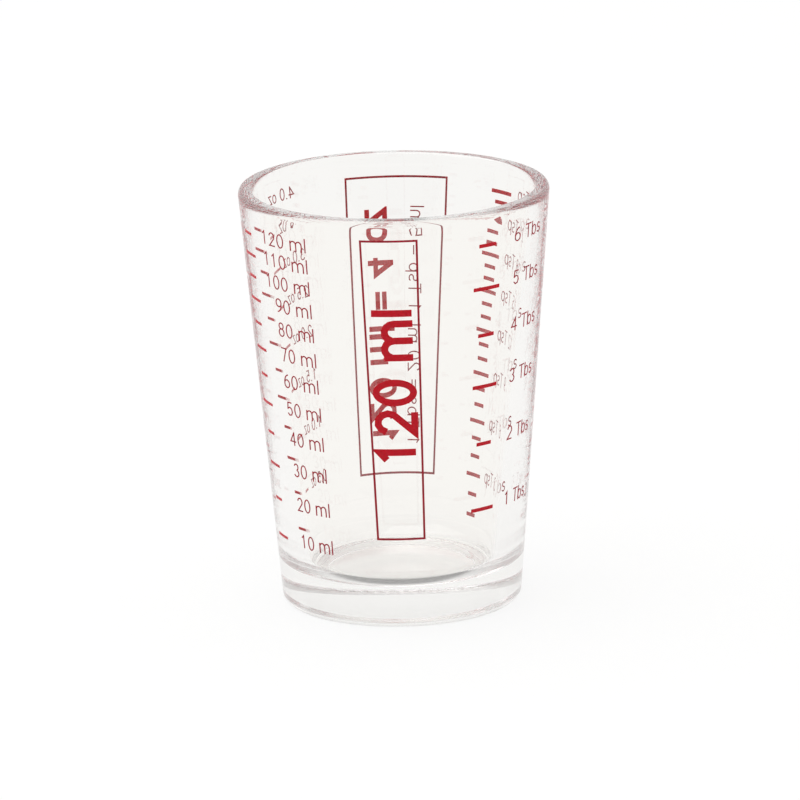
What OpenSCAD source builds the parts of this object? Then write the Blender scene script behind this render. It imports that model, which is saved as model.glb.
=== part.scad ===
// Measuring glass: a pressed tumbler of clear glass with a heavy base and four
// printed scales. Lengths are millimetres, volumes are millilitres, angles are
// degrees. Z is up from the table, and azimuth 0 is the front, at -Y.
// Azimuth grows towards +X, which is the way that the lettering reads.

/* [Glass] */
// Height from the table to the top of the rim
height = 85; // [75:0.5:95]
// Outside diameter of the wall, carried up to the top of the rim
rim_d = 62.4; // [58:0.2:70]
// Outside diameter of the wall, carried down to the table
base_d = 48.1; // [44:0.1:52]
// Wall thickness at the rim, measured level
rim_wall = 3.1; // [2.6:0.1:4]
// Wall thickness carried down to the table, measured level
base_wall = 6.3; // [5:0.1:8]
// Thickness of the bottom, from the table to the inside floor
floor_h = 7.1; // [4:0.1:9]
// Radius in the corner between the inside floor and the wall
floor_fillet = 4.5; // [1:0.25:6]
// Width of the rounding on the outer edge of the fire-polished rim
rim_out_w = 0.8; // [0.4:0.1:1.1]
// Height of that outer rounding
rim_out_h = 1.2; // [0.4:0.1:2]
// Width of the rounding on the inner edge of the rim
rim_in_w = 1; // [0.4:0.1:1.3]
// Height of that inner rounding
rim_in_h = 3.8; // [0.4:0.1:4.5]

/* [Foot] */
// Height at which the wall starts to turn in to the foot
heel_h = 1.5; // [1.2:0.1:4]
// How far the foot's edge on the table lies inside the line of the wall
heel_w = 0.75; // [0.4:0.05:1]
// Width of the flat ring that the glass stands on
foot_ring_w = 6.6; // [3:0.1:9]
// Depth of the hollow under the base
punt_depth = 0.5; // [0.3:0.1:1.5]
// Width of the slope between the standing ring and the hollow
punt_slope_w = 1; // [0.5:0.1:4]

/* [Print] */
// Least height from the top tick to the rim
brim_gap = 5; // [3:0.5:9]
// The top tick is the highest whole number of this volume, on all four scales
full_step_ml = 20; // [20:20:60]
// Thickness of the fired enamel
print_t = 0.1; // [0.05:0.01:0.2]
// How far the artwork turns back from the table to the rim
print_turn_angle = 3.3; // [0:0.1:6]
// Height of a capital or a digit on the scales
digit_h = 2.95; // [2.2:0.05:3.6]
// Width of the pen that draws the scales' lettering
pen_w = 0.25; // [0.2:0.01:0.4]
// How far the flat letters bed into the curved wall
letter_bed = 0.03; // [0:0.01:0.05]
// How far a number's middle sits above its tick
number_raise = 0.7; // [0:0.1:1.5]

/* [Millilitre scale] */
// Volume between neighbouring ticks
tick_ml = 10; // [10:5:20]
// Length of a long tick
ml_long = 5.2; // [3:0.1:8]
// Length of a short tick
ml_short = 3.3; // [2:0.1:5]
// Thickness of a tick
ml_tick_t = 0.55; // [0.3:0.05:1]
// Azimuth of the ticks' middle
ml_tick_angle = -70.3; // [-78:0.1:-66]
// Azimuth where the numbers end
ml_number_angle = -33; // [-34:0.1:-20]

/* [Ounce scale] */
// Volume of one ounce on this scale
oz_ml = 30; // [28.4:0.1:30]
// Length of a long tick
oz_long = 5.2; // [3:0.1:8]
// Length of a short tick
oz_short = 3.3; // [2:0.1:5]
// Thickness of a tick
oz_tick_t = 0.5; // [0.3:0.05:1]
// Azimuth of the ticks' middle
oz_tick_angle = -107; // [-109:0.1:-90]
// Height of a digit in this scale's numbers
oz_digit_h = 2.5; // [2.2:0.05:3.2]
// Azimuth where the numbers end
oz_number_angle = -116.2; // [-128:0.1:-116]

/* [Tablespoon scale] */
// Volume of one tablespoon
tbs_ml = 20; // [15:1:20]
// Length of a long tick
tbs_long = 6; // [3:0.1:8]
// Length of a short tick
tbs_short = 3.75; // [2:0.05:5]
// Thickness of a tick
tbs_tick_t = 0.75; // [0.3:0.05:1]
// Azimuth of the ticks' middle
tbs_tick_angle = 37.6; // [28:0.1:42]
// Azimuth where the numbers end
tbs_number_angle = 71.5; // [68:0.1:78]

/* [Teaspoon scale] */
// Volume of one teaspoon
tsp_ml = 5; // [4:0.5:5]
// Number of teaspoons from one long, numbered tick to the next
tsp_group = 3; // [2:1:6]
// Length of a long tick
tsp_long = 6.1; // [3:0.05:8]
// Length of a short tick
tsp_short = 3.8; // [2:0.05:5]
// Thickness of a tick
tsp_tick_t = 0.75; // [0.3:0.05:1]
// Azimuth of the ticks' middle
tsp_tick_angle = 131.6; // [130:0.1:142]
// Azimuth where the numbers end
tsp_number_angle = 120.4; // [112:0.1:122]

/* [Front panel] */
// Height of the panel's lower line above the table
front_low = 18.8; // [14:0.1:30]
// Distance of the panel's upper line below the rim
front_gap = 4.1; // [2.5:0.1:15]
// Width of the panel at mid-height
front_w = 10.2; // [8:0.1:16]
// Azimuth of the panel's middle
front_angle = -1.3; // [-8:0.1:8]
// Width of the lines round both panels
frame_line = 0.42; // [0.3:0.01:0.8]
// Space between the capacity mark's digits and the panel's sides
front_mark_gap = 1.1; // [1:0.1:3]
// Width of the pen that draws the capacity mark
front_mark_pen = 1.4; // [0.5:0.05:1.4]
// How far the middle of the capacity mark lies above the panel's
front_mark_raise = 1; // [-6:0.5:6]

/* [Back panel] */
// Height of the panel's lower line above the table
back_low = 18.1; // [14:0.1:30]
// Distance of the panel's upper line below the rim
back_gap = 5.4; // [2.5:0.1:15]
// Width of the panel at mid-height
back_w = 20.2; // [18:0.1:26]
// Azimuth of the panel's middle
back_angle = 180; // [172:0.1:188]
// Space between the capacity mark and each end of the panel
back_mark_end = 6.1; // [3:0.1:8]
// Width of the pen that draws the capacity mark
back_mark_pen = 1.05; // [0.5:0.05:1.2]
// How far the capacity mark sits to the right of the panel's middle
back_mark_shift = 3.4; // [3:0.1:4.5]
// Space between the conversion note and each end of the panel
back_note_end = 5.65; // [2:0.05:8]
// How far the conversion note sits to the left of the panel's middle
back_note_shift = 4.2; // [3:0.1:5.5]

/* [Hidden] */

$fn = 96;
MM3_PER_ML = 1000;
// Water that climbs the wall above its level, for each millimetre of waterline
MENISCUS_MM2 = 7.4;
glass_colour = [0.87, 0.91, 0.9, 0.35];
enamel_colour = [0.68, 0.07, 0.14];

// Outside and inside walls: each is a straight taper
out_slope = (rim_d - base_d) / 2 / height;
in_base_r = base_d / 2 - base_wall;
in_slope = (rim_d / 2 - rim_wall - in_base_r) / height;
function r_out(z) = base_d / 2 + out_slope * z;
function r_in(z) = in_base_r + in_slope * z;

out_tilt = atan(out_slope);
in_tilt = atan(in_slope);

// Volume that the rounded corner takes from the cone above the floor.
// The middle of the section it fills lies 0.3 of its radius in from the wall.
floor_turn = 90 - in_tilt;
corner_area = pow(floor_fillet, 2) * (tan(floor_turn / 2) - floor_turn * PI / 360);
corner_mm3 = 2 * PI * (r_in(floor_h) - 0.3 * floor_fillet) * corner_area;

// Height of the water when the glass holds the given volume, read at the bottom
// of the meniscus: what climbs the wall is missing from the level
function level(ml) =
    let (
        cone = 3 * in_slope / PI * (ml * MM3_PER_ML + corner_mm3),
        brimmed = (pow(cone + pow(r_in(floor_h), 3), 1 / 3) - in_base_r) / in_slope
    )
    brimmed - 2 * MENISCUS_MM2 / r_in(brimmed);

// Volume that the glass holds up to a height that is above the rounded corner
function held(z) =
    let (cone = PI / 3 / in_slope * (pow(r_in(z), 3) - pow(r_in(floor_h), 3)))
    (cone - corner_mm3 + 2 * PI * r_in(z) * MENISCUS_MM2) / MM3_PER_ML;
full_ml = floor(held(height - brim_gap) / full_step_ml) * full_step_ml;

// Heights of the two panels' lines
front_z0 = front_low;
front_z1 = height - front_gap;
back_z0 = back_low;
back_z1 = height - back_gap;

// The artwork is stretched round the cone from its size at mid-height
mid_z = (front_z0 + front_z1) / 2;
mid_r = r_out(mid_z);
function stretch(z) = r_out(z) / mid_r;
function leaned(az, z) = az - print_turn_angle * (z - mid_z) / height;
function arc_deg(mm) = mm / mid_r * 180 / PI;

// Points along an arc, with its centre, its two radii and its end angles
function arc(cx, cy, rx, ry, a0, a1, steps = 6) = [
    for (i = [0:steps])
        let (a = a0 + (a1 - a0) * i / steps)
        [cx + rx * cos(a), cy + ry * sin(a)]
];

// Each letter: its name, how far it moves the pen on, its open pen strokes and
// its closed ones. A digit is 1 high, and a stroke is the middle of the pen's
// line. A closed stroke is an oval, with its centre and its two radii.
LETTERS = [
    ["0", 0.78, [], [[0.36, 0.5, 0.26, 0.46]]],
    ["1", 0.78, [[[0.16, 0.76], [0.36, 0.94], [0.36, 0.04]]], []],
    ["2", 0.78, [concat(arc(0.36, 0.69, 0.24, 0.26, 170, -30), [[0.1, 0.04], [0.62, 0.04]])], []],
    ["3", 0.78, [
        arc(0.35, 0.73, 0.21, 0.22, 160, -80),
        arc(0.35, 0.28, 0.25, 0.24, 80, -160)
    ], []],
    ["4", 0.78, [[[0.66, 0.3], [0.08, 0.3], [0.48, 0.93]], [[0.48, 0.98], [0.48, 0]]], []],
    ["5", 0.78, [
        [[0.57, 0.95], [0.19, 0.95], [0.14, 0.47]],
        arc(0.35, 0.33, 0.25, 0.29, 140, -152)
    ], []],
    ["6", 0.78, [concat([[0.52, 0.94]], arc(0.58, 0.34, 0.47, 0.62, 105, 172))],
        [[0.36, 0.31, 0.25, 0.27]]],
    ["7", 0.78, [[[0.11, 0.95], [0.61, 0.95], [0.27, 0]]], []],
    ["8", 0.78, [], [[0.36, 0.74, 0.21, 0.21], [0.36, 0.28, 0.25, 0.26]]],
    ["9", 0.78, [concat([[0.2, 0.06]], arc(0.14, 0.66, 0.47, 0.62, -75, -8))],
        [[0.36, 0.69, 0.25, 0.27]]],
    [".", 0.32, [[[0.09, 0.06], [0.21, 0.06]]], []],
    ["=", 0.86, [[[0.1, 0.62], [0.72, 0.62]], [[0.1, 0.36], [0.72, 0.36]]], []],
    [" ", 0.38, [], []],
    ["m", 1.14, [
        [[0.11, 0], [0.11, 0.72]],
        concat(arc(0.33, 0.46, 0.22, 0.24, 160, 0), [[0.55, 0]]),
        concat(arc(0.77, 0.46, 0.22, 0.24, 160, 0), [[0.99, 0]])
    ], []],
    ["l", 0.3, [[[0.12, 0], [0.12, 1]]], []],
    ["o", 0.76, [], [[0.36, 0.36, 0.25, 0.32]]],
    ["z", 0.66, [[[0.07, 0.69], [0.53, 0.69], [0.08, 0.04], [0.57, 0.04]]], []],
    ["T", 0.8, [[[0.06, 0.95], [0.72, 0.95]], [[0.39, 0.93], [0.39, 0]]], []],
    ["b", 0.76, [[[0.1, 0], [0.1, 1]]], [[0.37, 0.36, 0.25, 0.32]]],
    ["s", 0.66, [concat(
        arc(0.31, 0.53, 0.19, 0.17, 25, 250),
        arc(0.31, 0.21, 0.22, 0.17, 70, -155)
    )], []],
    ["p", 0.76, [[[0.1, 0.72], [0.1, -0.26]]], [[0.37, 0.36, 0.25, 0.32]]]
];
function letter(c) = [for (l = LETTERS) if (l[0] == c) l][0];

// How far the pen has moved before letter i, and the length of a whole line
function pen_x(txt, i) = i <= 0 ? 0 : pen_x(txt, i - 1) + letter(txt[i - 1])[1];
function line_w(txt) = pen_x(txt, len(txt));

// One edge of a pen stroke, mitred where the stroke turns
function heading(a, b) = (b - a) / norm(b - a);
function mitred(before, after, side) =
    [-before.y - after.y, before.x + after.x] / (1 + before * after) * side;
function pen_edge(p, side) = [
    for (i = [0:len(p) - 1])
        let (a = max(i, 1), b = min(i, len(p) - 2))
        p[i] + mitred(heading(p[a - 1], p[a]), heading(p[b], p[b + 1]), side)
];
function backwards(p) = [for (i = [len(p) - 1:-1:0]) p[i]];

// One letter, h high, drawn with a pen of the given width about its own middle
module letter_shape(c, h, pen, wide = 1) {
    middle = letter(c)[1] / 2;
    for (stroke = letter(c)[2]) {
        path = [for (p = stroke) h * [wide * (p.x - middle), p.y - 0.5]];
        polygon(concat(pen_edge(path, pen / 2), backwards(pen_edge(path, -pen / 2))));
    }
    for (loop = letter(c)[3])
        translate(h * [wide * (loop[0] - middle), loop[1] - 0.5])
            difference() {
                scale([wide * loop[2] * h + pen / 2, loop[3] * h + pen / 2])
                    circle(1, $fn = 20);
                scale([wide * loop[2] * h - pen / 2, loop[3] * h - pen / 2])
                    circle(1, $fn = 20);
            }
}

// The thin cone of enamel that all the artwork is cut from, standing on the glass
module enamel_skin(z0, z1) {
    rotate_extrude()
        polygon([
            [r_out(z0), z0], [r_out(z0) + print_t, z0],
            [r_out(z1) + print_t, z1], [r_out(z1), z1]
        ]);
}

// Stands a flat shape upright across the wall, so that it cuts through the skin
module across_wall(az, z, reach) {
    rotate([0, 0, leaned(az, z)])
        translate([0, reach / 2 - r_out(z), z])
            rotate([90, 0, 0])
                linear_extrude(height = reach)
                    children();
}

// Lays a small flat shape on the wall, touching it along its middle
module on_wall(az, z) {
    rotate([0, 0, leaned(az, z)])
        translate([0, -r_out(z), z])
            rotate([90 + out_tilt, 0, 0])
                translate([0, 0, -letter_bed])
                    linear_extrude(height = print_t)
                        children();
}

// A line of lettering round the glass, which ends at azimuth az_end
module level_line(txt, az_end, z, h, pen) {
    full_w = line_w(txt) * h;
    for (i = [0:len(txt) - 1])
        if (txt[i] != " ") {
            middle = (pen_x(txt, i) + letter(txt[i])[1] / 2) * h;
            az = az_end - arc_deg(full_w - middle);
            on_wall(az, z)
                letter_shape(txt[i], h, pen, stretch(z));
        }
}

// Lines of lettering up the glass, read with the head tilted to the left: large
// letters are cut from the skin, and small ones are laid on the wall
function letter_z(txt, i, z_mid, h) =
    z_mid + (pen_x(txt, i) + letter(txt[i])[1] / 2 - line_w(txt) / 2) * h;

module large_upright_line(txt, az, z_mid, side, h, pen) {
    reach = 2;
    intersection() {
        enamel_skin(z_mid - line_w(txt) * h / 2, z_mid + line_w(txt) * h / 2);
        for (i = [0:len(txt) - 1])
            if (txt[i] != " ")
                across_wall(az + arc_deg(side), letter_z(txt, i, z_mid, h), reach)
                    rotate(90)
                        letter_shape(txt[i], h, pen);
    }
}

module small_upright_line(txt, az, z_mid, side, h, pen) {
    for (i = [0:len(txt) - 1])
        if (txt[i] != " ")
            on_wall(az + arc_deg(side), letter_z(txt, i, z_mid, h))
                rotate(90)
                    letter_shape(txt[i], h, pen);
}

// A tick round the glass: a short band of enamel with its middle at az
module tick(az, z, w, t) {
    turn = arc_deg(w);
    z0 = z - t / 2;
    z1 = z + t / 2;
    rotate([0, 0, leaned(az, z) - 90 - turn / 2])
        rotate_extrude(angle = turn)
            polygon([
                [r_out(z0), z0], [r_out(z0) + print_t, z0],
                [r_out(z1) + print_t, z1], [r_out(z1), z1]
            ]);
}

// A column of ticks, one for each step of volume, every nth one long
module scale_ticks(az, step_ml, nth, first, long, short, t) {
    for (i = [1:floor(full_ml / step_ml + 0.01)])
        tick(az, level(i * step_ml), (i - first) % nth == 0 ? long : short, t);
}

// The numbers beside a column of ticks
module scale_numbers(az_end, step_ml, count, unit, h, decimals = false) {
    for (i = [1:floor(full_ml / step_ml + 0.01)])
        level_line(
            str(i * count, decimals && floor(i * count) == i * count ? ".0" : "", " ", unit),
            az_end, level(i * step_ml) + number_raise, h, pen_w
        );
}

// The line round a panel: a leaning trapezium that follows the cone's taper
module panel_frame(az, w, z0, z1) {
    reach = 2 * (r_out(z1) - r_out(z0)) + 2 * mid_r * (1 - cos(arc_deg(w) / 2)) + 1;
    intersection() {
        enamel_skin(z0 - frame_line, z1 + frame_line);
        across_wall(az, (z0 + z1) / 2, reach)
            difference() {
                panel_outline(w, z0, z1, frame_line / 2);
                panel_outline(w, z0, z1, -frame_line / 2);
            }
    }
}

module panel_outline(w, z0, z1, grow) {
    rise = (z1 - z0) / 2;
    lean_x = print_turn_angle * PI / 180 * mid_r * rise / height;
    half0 = r_out(z0) * sin(arc_deg(w) / 2) + grow;
    half1 = r_out(z1) * sin(arc_deg(w) / 2) + grow;
    polygon([
        [lean_x - half0, -rise - grow], [lean_x + half0, -rise - grow],
        [half1 - lean_x, rise + grow], [-half1 - lean_x, rise + grow]
    ]);
}

// Clear pressed glass: the tapered wall, the heavy bottom and the hollow foot
module glass_body() {
    foot_r = base_d / 2 - heel_w;
    ring_in = foot_r - foot_ring_w;
    wall_end = [r_out(heel_h), heel_h];
    across = [foot_r, 0] - wall_end;
    outward = [cos(out_tilt), -sin(out_tilt)];
    heel_r = across * across / (across * outward) / -2;
    heel = wall_end - heel_r * outward;
    out_z = height - rim_out_h;
    out_lean = rim_out_h * tan(out_tilt);
    in_z = height - rim_in_h;
    in_lean = rim_in_h * tan(in_tilt);
    floor_z = floor_h + floor_fillet;
    color(glass_colour)
        rotate_extrude()
            polygon(concat(
                [[0, punt_depth], [ring_in - punt_slope_w, punt_depth], [ring_in, 0]],
                round_off(heel.x, heel.y, heel_r, -asin(heel.y / heel_r), -out_tilt),
                arc(
                    r_out(out_z) - norm([rim_out_w, out_lean]), out_z, rim_out_w, rim_out_h,
                    -atan(out_lean / rim_out_w), 90, 9
                ),
                arc(
                    r_in(in_z) + norm([rim_in_w, in_lean]), in_z, -rim_in_w, rim_in_h,
                    90, atan(in_lean / rim_in_w), 9
                ),
                round_off(
                    r_in(floor_z) - floor_fillet / cos(in_tilt), floor_z, floor_fillet,
                    -in_tilt, -90
                ),
                [[0, floor_h]]
            ));
}

function round_off(x, z, r, a0, a1) = arc(x, z, r, r, a0, a1, 9);

module ml_ticks() {
    color(enamel_colour)
        scale_ticks(ml_tick_angle, tick_ml, 2, 1, ml_long, ml_short, ml_tick_t);
}

module ml_numbers() {
    color(enamel_colour)
        scale_numbers(ml_number_angle, tick_ml, tick_ml, "ml", digit_h);
}

module oz_ticks() {
    color(enamel_colour)
        scale_ticks(oz_tick_angle, oz_ml / 2, 2, 0, oz_long, oz_short, oz_tick_t);
}

module oz_numbers() {
    color(enamel_colour)
        scale_numbers(oz_number_angle, oz_ml / 2, 0.5, "oz", oz_digit_h, true);
}

module tbs_ticks() {
    color(enamel_colour)
        scale_ticks(tbs_tick_angle, tbs_ml, 2, 1, tbs_long, tbs_short, tbs_tick_t);
}

module tbs_numbers() {
    color(enamel_colour)
        scale_numbers(tbs_number_angle, tbs_ml, 1, "Tbs", digit_h);
}

module tsp_ticks() {
    color(enamel_colour)
        scale_ticks(tsp_tick_angle, tsp_ml, tsp_group, 0, tsp_long, tsp_short, tsp_tick_t);
}

module tsp_numbers() {
    color(enamel_colour)
        scale_numbers(tsp_number_angle, tsp_ml * tsp_group, tsp_group, "Tsp", digit_h);
}

module front_frame() {
    color(enamel_colour)
        panel_frame(front_angle, front_w, front_z0, front_z1);
}

module front_panel_mark() {
    color(enamel_colour)
        large_upright_line(
            str(full_ml, " ml"),
            front_angle, (front_z0 + front_z1) / 2 + front_mark_raise, 0,
            front_w - 2 * front_mark_gap, front_mark_pen
        );
}

module back_frame() {
    color(enamel_colour)
        panel_frame(back_angle, back_w, back_z0, back_z1);
}

module back_panel_mark() {
    txt = str(full_ml, " ml = ", round(full_ml / oz_ml * 10) / 10, " oz");
    color(enamel_colour)
        large_upright_line(
            txt, back_angle, (back_z0 + back_z1) / 2, back_mark_shift,
            (back_z1 - back_z0 - 2 * back_mark_end) / line_w(txt), back_mark_pen
        );
}

module back_panel_note() {
    txt = str("1 Tbs = ", tbs_ml, " ml  1 Tsp = ", tsp_ml, " ml");
    color(enamel_colour)
        small_upright_line(
            txt, back_angle, (back_z0 + back_z1) / 2, -back_note_shift,
            (back_z1 - back_z0 - 2 * back_note_end) / line_w(txt), pen_w
        );
}

glass_body();
ml_ticks();
ml_numbers();
oz_ticks();
oz_numbers();
tbs_ticks();
tbs_numbers();
tsp_ticks();
tsp_numbers();
front_frame();
front_panel_mark();
back_frame();
back_panel_mark();
back_panel_note();
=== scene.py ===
"""A measuring glass: a pressed tumbler of clear glass with red enamel scales."""

import math

import bpy
import numpy as np
from mathutils import Matrix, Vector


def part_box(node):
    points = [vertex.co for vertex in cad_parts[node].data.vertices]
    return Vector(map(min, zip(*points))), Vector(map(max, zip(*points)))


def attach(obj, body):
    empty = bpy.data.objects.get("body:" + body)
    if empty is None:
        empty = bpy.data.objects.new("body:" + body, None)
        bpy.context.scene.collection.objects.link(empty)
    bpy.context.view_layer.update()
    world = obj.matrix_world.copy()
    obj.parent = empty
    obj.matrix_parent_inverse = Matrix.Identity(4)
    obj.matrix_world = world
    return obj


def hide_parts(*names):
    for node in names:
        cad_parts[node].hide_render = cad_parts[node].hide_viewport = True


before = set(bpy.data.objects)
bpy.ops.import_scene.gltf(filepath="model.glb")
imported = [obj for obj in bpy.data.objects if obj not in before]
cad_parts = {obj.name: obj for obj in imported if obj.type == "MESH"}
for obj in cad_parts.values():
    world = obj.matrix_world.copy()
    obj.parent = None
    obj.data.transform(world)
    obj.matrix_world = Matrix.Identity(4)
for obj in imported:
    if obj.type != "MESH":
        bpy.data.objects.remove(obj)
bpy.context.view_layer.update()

MM = 0.001

# The tumbler. One gob of soda-lime glass, pressed to a straight taper over a
# plunger that leaves a wall twice as thick at the bottom as at the rim. The rim
# is fire-polished, and the glass stands on a knurled ring round a hollow.
glass_low, glass_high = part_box("glass_body")
height = (glass_high.z - glass_low.z) / MM
RIM_R, BASE_R = 31.2, 24.05
RIM_WALL, BASE_WALL = 3.1, 6.3
FLOOR_H, FLOOR_R = 7.1, 4.5
HEEL_H, HEEL_W = 1.5, 0.75
RING_W, HOLLOW_H, HOLLOW_SLOPE_W = 6.6, 0.5, 1
RIM_OUT_W, RIM_OUT_H = 0.8, 1.2
RIM_IN_W, RIM_IN_H = 1, 3.8
ENAMEL_BED = 0.02
AXIS_R = 0.3
STEPS_ROUND, WALL_STEPS, FLAT_STEPS, RING_STEPS, CURVE_STEPS = 288, 60, 24, 6, 24
SHARPEST_SMOOTH = 15


def arc(x, z, wide, high, start, end, steps=16):
    """An oval arc of the section: x + wide cos a and z + high sin a, for a from start to end degrees."""
    a = np.radians(np.linspace(start, end, steps + 1))
    return np.stack([x + wide * np.cos(a), z + high * np.sin(a)], axis=1)


def line(start, end, steps):
    """A straight run of the section, in even steps and without its two ends."""
    t = np.arange(1, steps)[:, None] / steps
    return np.array(start) * (1 - t) + np.array(end) * t


def turned_solid(name, section):
    """A solid of revolution: the point (x, z) of the section at turn a is (x sin a, -x cos a, z).

    The section runs from one end at the axis to the other, and a flat face closes each end."""
    a = np.arange(STEPS_ROUND) * 2 * np.pi / STEPS_ROUND
    x, z = section[:, :1], section[:, 1:]
    points = np.stack([x * np.sin(a), -x * np.cos(a), z + 0 * a], axis=-1).reshape(-1, 3) * MM
    row = np.arange(len(section) - 1)[:, None] * STEPS_ROUND
    here = np.arange(STEPS_ROUND)[None, :]
    after = (here + 1) % STEPS_ROUND
    quads = np.stack([row + here, row + after, row + STEPS_ROUND + after, row + STEPS_ROUND + here], axis=-1)
    bottom = here[0, ::-1].tolist()
    top = (row[-1, 0] + STEPS_ROUND + here[0]).tolist()
    mesh = bpy.data.meshes.new(name)
    mesh.from_pydata(points.tolist(), [], quads.reshape(-1, 4).tolist() + [bottom, top])
    mesh.polygons.foreach_set("use_smooth", np.ones(len(mesh.polygons), bool))
    mesh.set_sharp_from_angle(angle=math.radians(SHARPEST_SMOOTH))
    solid = bpy.data.objects.new(name, mesh)
    bpy.context.scene.collection.objects.link(solid)
    return solid


in_r = BASE_R - BASE_WALL
out_slope = (RIM_R - BASE_R) / height
in_slope = (RIM_R - RIM_WALL - in_r) / height
out_tilt, in_tilt = math.degrees(math.atan(out_slope)), math.degrees(math.atan(in_slope))

foot_r = BASE_R - HEEL_W
ring_in = foot_r - RING_W
hollow_r = ring_in - HOLLOW_SLOPE_W
wall_end = np.array([BASE_R + out_slope * HEEL_H, HEEL_H])
outward = np.array([math.cos(math.radians(out_tilt)), -math.sin(math.radians(out_tilt))])
across = np.array([foot_r, 0]) - wall_end
heel_r = -across @ across / (across @ outward) / 2
heel_x, heel_z = wall_end - heel_r * outward
heel = arc(heel_x, heel_z, heel_r, heel_r, -math.degrees(math.asin(heel_z / heel_r)), -out_tilt)

out_z = height - RIM_OUT_H
out_lean = RIM_OUT_H * out_slope
out_x = BASE_R + out_slope * out_z - math.hypot(RIM_OUT_W, out_lean)
out_start = -math.degrees(math.atan(out_lean / RIM_OUT_W))
rim_out = arc(out_x, out_z, RIM_OUT_W, RIM_OUT_H, out_start, 90)

in_z = height - RIM_IN_H
in_lean = RIM_IN_H * in_slope
in_x = in_r + in_slope * in_z + math.hypot(RIM_IN_W, in_lean)
in_end = math.degrees(math.atan(in_lean / RIM_IN_W))
rim_in = arc(in_x, in_z, -RIM_IN_W, RIM_IN_H, 90, in_end, CURVE_STEPS)

corner_z = FLOOR_H + FLOOR_R
corner_x = in_r + in_slope * corner_z - FLOOR_R / math.cos(math.radians(in_tilt))
corner = arc(corner_x, corner_z, FLOOR_R, FLOOR_R, -in_tilt, -90, CURVE_STEPS)

bed = np.array([ENAMEL_BED, 0])
section = np.concatenate([
    [[AXIS_R, HOLLOW_H]],
    line([AXIS_R, HOLLOW_H], [hollow_r, HOLLOW_H], FLAT_STEPS),
    [[hollow_r, HOLLOW_H]],
    line([hollow_r, HOLLOW_H], [ring_in, 0], RING_STEPS),
    [[ring_in, 0]],
    line([ring_in, 0], [foot_r, 0], RING_STEPS),
    heel + bed,
    line(heel[-1] + bed, rim_out[0] + bed, WALL_STEPS),
    rim_out + bed * np.linspace(1, 0, len(rim_out))[:, None],
    rim_in,
    line(rim_in[-1], corner[0], WALL_STEPS),
    corner,
    line(corner[-1], [AXIS_R, FLOOR_H], FLAT_STEPS),
    [[AXIS_R, FLOOR_H]],
])
tumbler = turned_solid("tumbler", section)


def srgb(code):
    """The linear colour that a shader reads, from an sRGB hex code."""
    c = np.array([int(code[i : i + 2], 16) for i in (1, 3, 5)]) / 255
    return (*np.where(c <= 0.04045, c / 12.92, ((c + 0.055) / 1.055) ** 2.4), 1)


def add_node(tree, kind, inputs, **settings):
    """Adds a node with its settings. Each input is a value, or an output to link."""
    node = tree.nodes.new(kind)
    for name, value in settings.items():
        setattr(node, name, value)
    for name, value in inputs.items():
        if isinstance(value, bpy.types.NodeSocket):
            tree.links.new(value, node.inputs[name])
        else:
            node.inputs[name].default_value = value
    return node


# Soda-lime glass, pressed and fire-polished: clear, with a smooth skin that
# bends what lies behind it a little. The bottom keeps the dull skin of the
# mould, with a fine knurl round the edge of the standing ring.
FLOW_W, FLOW_H = 9, 0.003
KNURL_W, KNURL_H = 0.86, 0.02
KNURL_R, KNURL_TOP = (21.5, 22.5), (0.1, 0.3)
SKIN_MATT, SKIN_FADE, SKIN_TOP = (0.45, 0.2), (0.1, 0.4), (0.55, 0.65)
glass = bpy.data.materials.new("pressed_soda_lime_glass")
glass.use_nodes = True
tree = glass.node_tree
shader = tree.nodes["Principled BSDF"]
shader.inputs["Base Color"].default_value = srgb("#fffefc")
shader.inputs["Transmission Weight"].default_value = 1
shader.inputs["IOR"].default_value = 1.52
place = add_node(tree, "ShaderNodeTexCoord", {})
axes = add_node(tree, "ShaderNodeSeparateXYZ", {"Vector": place.outputs["Object"]})
turn = add_node(tree, "ShaderNodeMath", {0: axes.outputs["X"], 1: axes.outputs["Y"]}, operation="ARCTAN2")
knurls = round(2 * math.pi * foot_r / KNURL_W)
ridges = add_node(tree, "ShaderNodeMath", {0: turn.outputs[0], 1: knurls}, operation="MULTIPLY")
wave = add_node(tree, "ShaderNodeMath", {0: ridges.outputs[0]}, operation="SINE")
low = add_node(tree, "ShaderNodeMapRange", {
    "Value": axes.outputs["Z"], "To Min": 1, "To Max": 0,
    "From Min": KNURL_TOP[0] * MM, "From Max": KNURL_TOP[1] * MM,
})
reach = add_node(tree, "ShaderNodeVectorMath", {0: place.outputs["Object"]}, operation="LENGTH")
edge = add_node(tree, "ShaderNodeMapRange", {
    "Value": reach.outputs["Value"], "To Min": 0, "To Max": 1,
    "From Min": KNURL_R[0] * MM, "From Max": KNURL_R[1] * MM,
})
knurled = add_node(tree, "ShaderNodeMath", {0: low.outputs[0], 1: edge.outputs[0]}, operation="MULTIPLY")
knurl = add_node(tree, "ShaderNodeMath", {0: wave.outputs[0], 1: knurled.outputs[0]}, operation="MULTIPLY")
knurl_bump = add_node(tree, "ShaderNodeBump", {
    "Height": knurl.outputs[0], "Strength": 1, "Distance": KNURL_H * MM,
})
matt = add_node(tree, "ShaderNodeMapRange", {
    "Value": axes.outputs["Z"], "To Min": SKIN_MATT[0], "To Max": SKIN_MATT[1],
    "From Min": SKIN_FADE[0] * MM, "From Max": SKIN_FADE[1] * MM,
})
skinned = add_node(tree, "ShaderNodeMapRange", {
    "Value": axes.outputs["Z"], "To Min": 1, "To Max": 0,
    "From Min": SKIN_TOP[0] * MM, "From Max": SKIN_TOP[1] * MM,
})
dull = add_node(tree, "ShaderNodeMath", {0: matt.outputs[0], 1: skinned.outputs[0]}, operation="MULTIPLY")
tree.links.new(dull.outputs[0], shader.inputs["Roughness"])
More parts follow.
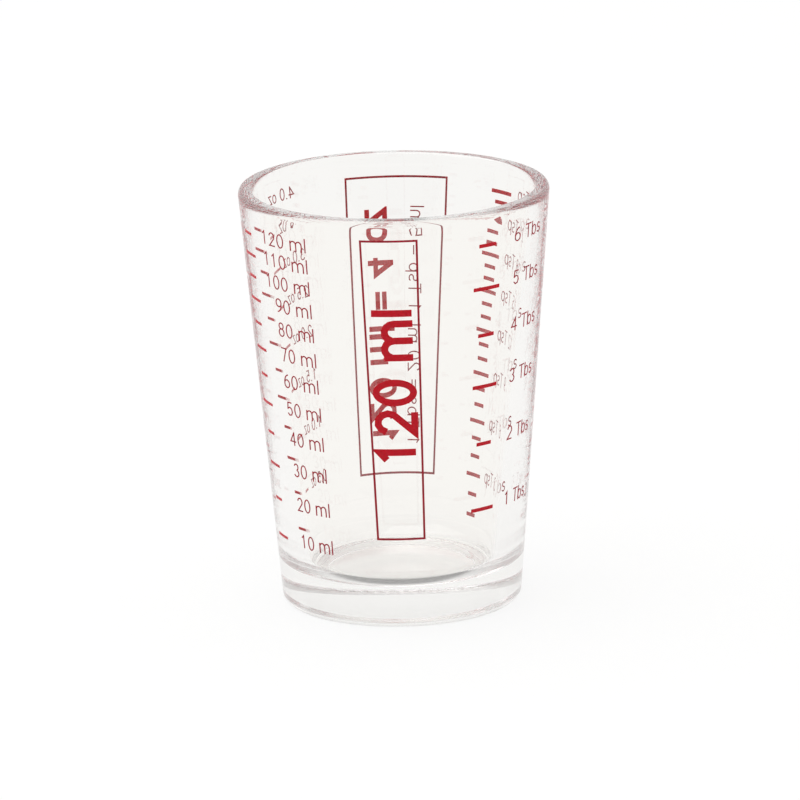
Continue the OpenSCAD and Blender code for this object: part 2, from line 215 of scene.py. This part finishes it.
flow = add_node(tree, "ShaderNodeTexNoise", {
    "Vector": place.outputs["Object"], "Scale": 1 / (FLOW_W * MM), "Detail": 1,
})
skin_bump = add_node(tree, "ShaderNodeBump", {
    "Height": flow.outputs["Fac"], "Strength": 1, "Distance": FLOW_H * MM, "Normal": knurl_bump.outputs[0],
})
tree.links.new(skin_bump.outputs[0], shader.inputs["Normal"])
tumbler.data.materials.append(glass)
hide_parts("glass_body")
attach(tumbler, "root")

# The print. Red vitreous enamel, screened on and fired in: four scales with their
# numbers, and two upright panels. The layer has a faint gloss, a slight mottle and
# lets some daylight through, and its thin lines are a darker red than broad strokes.
MOTTLE_W = 0.8
GRAIN_W, GRAIN_H = 0.12, 0.01
GLOW_DEPTH, GLOW_RGB = 0.4, (1, 0.2, 0.2)
THIN = (
    "ml_numbers", "oz_numbers", "tbs_numbers", "tsp_numbers", "back_panel_note",
    "front_frame", "back_frame",
)


def red_enamel(name, deep, bright):
    """The fired enamel, between two tones of the same red."""
    material = bpy.data.materials.new(name)
    material.use_nodes = True
    tree = material.node_tree
    shader = tree.nodes["Principled BSDF"]
    shader.inputs["IOR"].default_value = 1.55
    shader.inputs["Specular IOR Level"].default_value = 0.2
    place = add_node(tree, "ShaderNodeTexCoord", {})
    mottle = add_node(tree, "ShaderNodeTexNoise", {
        "Vector": place.outputs["Object"], "Scale": 1 / (MOTTLE_W * MM), "Detail": 4,
    })
    tone = add_node(tree, "ShaderNodeMix", {
        "Factor": mottle.outputs["Fac"], 6: srgb(deep), 7: srgb(bright),
    }, data_type="RGBA")
    tree.links.new(tone.outputs[2], shader.inputs["Base Color"])
    shader.inputs["Subsurface Weight"].default_value = 1
    shader.inputs["Subsurface Radius"].default_value = GLOW_RGB
    shader.inputs["Subsurface Scale"].default_value = GLOW_DEPTH * MM
    gloss = add_node(tree, "ShaderNodeMapRange", {
        "Value": mottle.outputs["Fac"], "To Min": 0.28, "To Max": 0.5,
    })
    tree.links.new(gloss.outputs[0], shader.inputs["Roughness"])
    grain = add_node(tree, "ShaderNodeTexNoise", {
        "Vector": place.outputs["Object"], "Scale": 1 / (GRAIN_W * MM), "Detail": 2,
    })
    grain_bump = add_node(tree, "ShaderNodeBump", {
        "Height": grain.outputs["Fac"], "Strength": 0.4, "Distance": GRAIN_H * MM,
    })
    tree.links.new(grain_bump.outputs[0], shader.inputs["Normal"])
    return material


broad_enamel = red_enamel("fired_red_enamel", "#a8081c", "#bc0e24")
thin_enamel = red_enamel("fired_red_enamel_thin", "#861424", "#9a1e30")
for name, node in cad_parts.items():
    if name != "glass_body":
        node.data.materials.clear()
        node.data.materials.append(thin_enamel if name in THIN else broad_enamel)

# The table: a wide sheet of matt white paper. What the glass shows of it is a
# little darker than the paper itself, with a painted shadow, darkest under and close
# before the front of the foot, for the glass's own shadow. Room is left for the soft shadow on the paper.
TABLE_R, TABLE_SIDES, TABLE_DROP = 3, 96, 0.02
PAINTED_SHADOW_R = 22, 36
PAINTED_SHADOW_Y = -15, -11
PAINTED_SHADOW_LEVEL, SEEN_LEVEL = 0.36, 0.92
WHITE_SHARE = 0.85
corner_a = np.arange(TABLE_SIDES) * 2 * np.pi / TABLE_SIDES
mesh = bpy.data.meshes.new("table")
mesh.from_pydata(
    np.stack([TABLE_R * np.cos(corner_a), TABLE_R * np.sin(corner_a), 0 * corner_a], axis=1).tolist(),
    [], [list(range(TABLE_SIDES))],
)
table = bpy.data.objects.new("table", mesh)
bpy.context.scene.collection.objects.link(table)
table.location.z = -TABLE_DROP * MM
paper = bpy.data.materials.new("white_paper")
paper.use_nodes = True
tree = paper.node_tree
tree.nodes.clear()
paths = add_node(tree, "ShaderNodeLightPath", {})
through = add_node(tree, "ShaderNodeMath", {
    0: paths.outputs["Is Glossy Ray"], 1: paths.outputs["Is Transmission Ray"],
}, operation="MAXIMUM")
direct = add_node(tree, "ShaderNodeMath", {
    0: paths.outputs["Is Camera Ray"], 1: through.outputs[0],
}, operation="MAXIMUM")
share = add_node(tree, "ShaderNodeMath", {0: direct.outputs[0], 1: WHITE_SHARE}, operation="MULTIPLY")
place = add_node(tree, "ShaderNodeTexCoord", {})
axes = add_node(tree, "ShaderNodeSeparateXYZ", {"Vector": place.outputs["Object"]})
# Painted shadow: what the glass sees of the paper is darkened under and close before the front of the foot.
behind = add_node(tree, "ShaderNodeMapRange", {
    "Value": axes.outputs["Y"], "To Min": PAINTED_SHADOW_LEVEL, "To Max": SEEN_LEVEL,
    "From Min": PAINTED_SHADOW_Y[0] * MM, "From Max": PAINTED_SHADOW_Y[1] * MM,
})
from_axis = add_node(tree, "ShaderNodeVectorMath", {0: place.outputs["Object"]}, operation="LENGTH")
painted_shadow_ring = add_node(tree, "ShaderNodeMapRange", {
    "Value": from_axis.outputs["Value"], "To Min": 0, "To Max": SEEN_LEVEL,
    "From Min": PAINTED_SHADOW_R[0] * MM, "From Max": PAINTED_SHADOW_R[1] * MM,
})
painted_shadow = add_node(tree, "ShaderNodeMath", {0: behind.outputs[0], 1: painted_shadow_ring.outputs[0]}, operation="MAXIMUM")
paper_white_with_painted_shadow = add_node(tree, "ShaderNodeMath", {
    0: painted_shadow.outputs[0], 1: paths.outputs["Is Camera Ray"],
}, operation="MAXIMUM")
matt = add_node(tree, "ShaderNodeBsdfDiffuse", {"Color": srgb("#f4f4f2")})
white = add_node(tree, "ShaderNodeEmission", {"Color": (1, 1, 1, 1), "Strength": paper_white_with_painted_shadow.outputs[0]})
mixed = add_node(tree, "ShaderNodeMixShader", {0: share.outputs[0], 1: matt.outputs[0], 2: white.outputs[0]})
add_node(tree, "ShaderNodeOutputMaterial", {"Surface": mixed.outputs[0]})
mesh.materials.append(paper)

# The light tent: white all round, and darker where it opens behind the camera.
# The camera sees plain white, and the object the tent as it is.
OPENING_LEVEL, OPENING_Y = 0.6, (-1, -0.3)
scene = bpy.context.scene
world = bpy.data.worlds.new("light_tent")
world.use_nodes = True
scene.world = world
tree = world.node_tree
background = tree.nodes["Background"]
place = add_node(tree, "ShaderNodeTexCoord", {})
axes = add_node(tree, "ShaderNodeSeparateXYZ", {"Vector": place.outputs["Generated"]})
tent = add_node(tree, "ShaderNodeMapRange", {
    "Value": axes.outputs["Y"], "To Min": OPENING_LEVEL, "To Max": SEEN_LEVEL,
    "From Min": OPENING_Y[0], "From Max": OPENING_Y[1],
})
paths = add_node(tree, "ShaderNodeLightPath", {})
bright = add_node(tree, "ShaderNodeMath", {
    0: tent.outputs[0], 1: paths.outputs["Is Camera Ray"],
}, operation="MAXIMUM")
tree.links.new(bright.outputs[0], background.inputs["Strength"])
background.inputs["Color"].default_value = (1, 1, 1, 1)

# The softbox: a large square lamp that hangs over the table, a little to the
# left, and gives the glass its faint shadow.
SOFTBOX_W, SOFTBOX_H, SOFTBOX_POWER, SOFTBOX_TILT = 1.5, 1.3, 8, -20
softbox = bpy.data.lights.new("softbox", "AREA")
softbox.size = SOFTBOX_W
softbox.energy = SOFTBOX_POWER
lamp = bpy.data.objects.new("softbox", softbox)
scene.collection.objects.link(lamp)
lamp.matrix_world = (
    Matrix.Rotation(math.radians(SOFTBOX_TILT), 4, "Y")
    @ Matrix.Translation((0, 0, SOFTBOX_H))
)

# The camera: a long lens, 1.4 m from the glass and 15 degrees above the table.
# The middle is where its axis meets the picture, in pixels from the top left.
CAMERA_FAR, CAMERA_HIGH, CAMERA_ROLL = 1.404, 15.0026, -1.2465
FOCUS_PX = 6982
MIDDLE_PX = 398.01, 390.43
IMAGE_PX = 800
SENSOR_MM = 36
camera = bpy.data.objects.new("camera", bpy.data.cameras.new("camera"))
scene.collection.objects.link(camera)
scene.camera = camera
camera.data.sensor_width = SENSOR_MM
camera.data.lens = SENSOR_MM * FOCUS_PX / IMAGE_PX
camera.data.shift_x = 0.5 - MIDDLE_PX[0] / IMAGE_PX
camera.data.shift_y = MIDDLE_PX[1] / IMAGE_PX - 0.5
camera.data.clip_end = 100
camera.matrix_world = (
    Matrix.Translation((0, 0, height / 2 * MM))
    @ Matrix.Rotation(math.radians(90 - CAMERA_HIGH), 4, "X")
    @ Matrix.Translation((0, 0, CAMERA_FAR))
    @ Matrix.Rotation(math.radians(CAMERA_ROLL), 4, "Z")
)

# Light runs round inside the rim and the bottom for many turns before it leaves,
# so its path may be long.
BOUNCES = 64
scene.view_settings.view_transform = "Standard"
scene.cycles.max_bounces = BOUNCES
scene.cycles.transmission_bounces = BOUNCES
scene.cycles.glossy_bounces = BOUNCES
